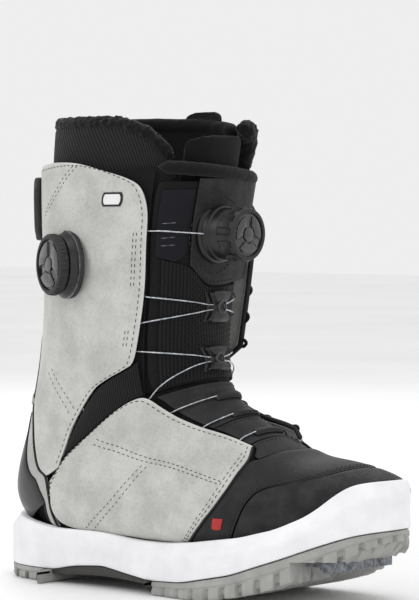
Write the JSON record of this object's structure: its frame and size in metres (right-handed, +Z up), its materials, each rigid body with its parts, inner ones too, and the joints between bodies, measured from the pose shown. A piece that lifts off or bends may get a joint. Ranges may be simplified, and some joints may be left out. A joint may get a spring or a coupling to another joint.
{
  "type": "snowboard boot",
  "caption": "Right snowboard boot with two cable dials, a removable foam liner, an opening tongue and a rubber cup sole with a steel cleat.",
  "frame": {"origin": "on the floor plane under the middle of the foot, at the forefoot tread's face", "axes": "+X to the toe, +Z up, -Y to the outer side of this right boot"},
  "size_m": [0.294, 0.1218, 0.2978],
  "materials": {
    "midsole": "matt white foam rubber",
    "outsole_heel": "matt grey rubber",
    "outsole_forefoot": "matt grey rubber",
    "arch_shank": "matt dark plastic",
    "cleat_plate": "brushed",
    "cleat_screw_1": "brushed",
    "cleat_screw_2": "brushed",
    "cuff_outer": "mottled grey nubuck",
    "cuff_inner": "mottled grey nubuck",
    "quarter_outer": "mottled grey nubuck",
    "quarter_inner": "mottled grey nubuck",
    "ankle_gusset_outer": "black cloth",
    "ankle_gusset_inner": "black cloth",
    "backstay": "grey nubuck",
    "heel_counter": "satin charcoal",
    "spine_panel": "black leather",
    "spine_pad": "black leather",
    "vamp": "black leather",
    "toe_cap": "fine grained black leather",
    "lasting_board": "fibre board",
    "shell_lining": "black cloth",
    "liner": "black mesh over foam",
    "liner_collar": "black cloth",
    "liner_pull_tab": "black cloth",
    "liner_tongue": "black mesh over foam",
    "footbed": "grey foam",
    "tongue_shell": "black mesh over foam",
    "tongue_leather": "black leather",
    "tongue_label": "black cloth",
    "tongue_mesh": "black cloth",
    "tongue_piping": "black cloth",
    "lace_guide_upper": "matt black nylon",
    "lace_guide_lower": "matt black nylon",
    "tongue_gusset_outer": "black cloth",
    "tongue_gusset_inner": "black cloth",
    "instep_strap_1": "black leather",
    "instep_strap_2": "black leather",
    "instep_strap_3": "black leather",
    "lace_tunnel_1": "black leather",
    "lace_tunnel_2": "black leather",
    "lace_tunnel_3": "black leather",
    "front_dial_base": "matt black nylon",
    "front_dial_spool": "natural acetal",
    "front_dial_winding": "stainless steel",
    "front_dial_ratchet": "natural acetal",
    "front_dial_knob": "satin black",
    "front_dial_cover": "glossy dark grey",
    "front_dial_axle": "stainless steel",
    "side_dial_base": "matt black nylon",
    "side_dial_spool": "natural acetal",
    "side_dial_winding": "stainless steel",
    "side_dial_ratchet": "natural acetal",
    "side_dial_knob": "satin black",
    "side_dial_cover": "glossy dark grey",
    "side_dial_axle": "stainless steel",
    "front_lace": "stainless steel",
    "side_lace": "stainless steel"
  },
  "bodies": {
    "shell": {"midsole": "midsole", "outsole_heel": "outsole_heel", "outsole_forefoot": "outsole_forefoot", "arch_shank": "arch_shank", "cleat_plate": "cleat_plate", "cleat_screw_1": "cleat_screw_1", "cleat_screw_2": "cleat_screw_2", "cuff_outer": "cuff_outer", "cuff_inner": "cuff_inner", "quarter_outer": "quarter_outer", "quarter_inner": "quarter_inner", "ankle_gusset_outer": "ankle_gusset_outer", "ankle_gusset_inner": "ankle_gusset_inner", "backstay": "backstay", "heel_counter": "heel_counter", "spine_panel": "spine_panel", "spine_pad": "spine_pad", "vamp": "vamp", "toe_cap": "toe_cap", "lasting_board": "lasting_board", "shell_lining": "shell_lining", "liner": "liner", "liner_collar": "liner_collar", "liner_pull_tab": "liner_pull_tab", "footbed": "footbed", "tongue_gusset_outer": "tongue_gusset_outer", "tongue_gusset_inner": "tongue_gusset_inner", "instep_strap_1": "instep_strap_1", "instep_strap_2": "instep_strap_2", "instep_strap_3": "instep_strap_3", "lace_tunnel_1": "lace_tunnel_1", "lace_tunnel_2": "lace_tunnel_2", "lace_tunnel_3": "lace_tunnel_3", "side_dial_base": "side_dial_base", "side_dial_axle": "side_dial_axle", "front_lace": "front_lace", "side_lace": "side_lace"},
    "tongue": {"tongue_shell": "tongue_shell", "tongue_leather": "tongue_leather", "tongue_label": "tongue_label", "tongue_mesh": "tongue_mesh", "tongue_piping": "tongue_piping", "lace_guide_upper": "lace_guide_upper", "lace_guide_lower": "lace_guide_lower", "front_dial_base": "front_dial_base", "front_dial_axle": "front_dial_axle"},
    "front_drive": {"front_dial_ratchet": "front_dial_ratchet"},
    "front_knob": {"front_dial_knob": "front_dial_knob", "front_dial_cover": "front_dial_cover"},
    "front_spool": {"front_dial_spool": "front_dial_spool", "front_dial_winding": "front_dial_winding"},
    "side_drive": {"side_dial_ratchet": "side_dial_ratchet"},
    "side_knob": {"side_dial_knob": "side_dial_knob", "side_dial_cover": "side_dial_cover"},
    "side_spool": {"side_dial_spool": "side_dial_spool", "side_dial_winding": "side_dial_winding"},
    "liner_tongue": {"liner_tongue": "liner_tongue"}
  },
  "joints": [
    {"name": "tongue_open", "type": "hinge", "parent": "shell", "child": "tongue", "pos_m": [0.0095, 0, 0.1325], "axis": [0, 1, 0], "range_deg": [0, 20], "deforming": ["front_lace", "side_lace", "tongue_gusset_outer", "tongue_gusset_inner"]},
    {"name": "liner_tongue_open", "type": "hinge", "parent": "shell", "child": "liner_tongue", "pos_m": [0.0095, 0, 0.1325], "axis": [0, 1, 0], "range_deg": [0, 14]},
    {"name": "front_dial_turn", "type": "hinge", "parent": "tongue", "child": "front_drive", "pos_m": [0.00775, -0.00259, 0.22236], "axis": [0.9996, 0, -0.03], "continuous": true},
    {"name": "front_dial_pull", "type": "slide", "parent": "front_drive", "child": "front_knob", "axis": [0.9996, 0, -0.03], "range_m": [0, 0.0018]},
    {"name": "front_spool_wind", "type": "hinge", "parent": "tongue", "child": "front_spool", "pos_m": [0.00775, -0.00259, 0.22236], "axis": [0.9996, 0, -0.03], "continuous": true},
    {"name": "side_dial_turn", "type": "hinge", "parent": "shell", "child": "side_drive", "pos_m": [-0.07963, -0.04785, 0.2024], "axis": [-0.375, -0.927, 0], "continuous": true},
    {"name": "side_dial_pull", "type": "slide", "parent": "side_drive", "child": "side_knob", "axis": [-0.375, -0.927, 0], "range_m": [0, 0.0018]},
    {"name": "side_spool_wind", "type": "hinge", "parent": "shell", "child": "side_spool", "pos_m": [-0.07963, -0.04785, 0.2024], "axis": [-0.375, -0.927, 0], "continuous": true}
  ],
  "couplings": [
    {"joint": "liner_tongue_open", "follows": "tongue_open", "ratio": 0.7},
    {"joint": "front_spool_wind", "follows": "front_dial_turn", "ratio": 1},
    {"joint": "side_spool_wind", "follows": "side_dial_turn", "ratio": 1}
  ]
}
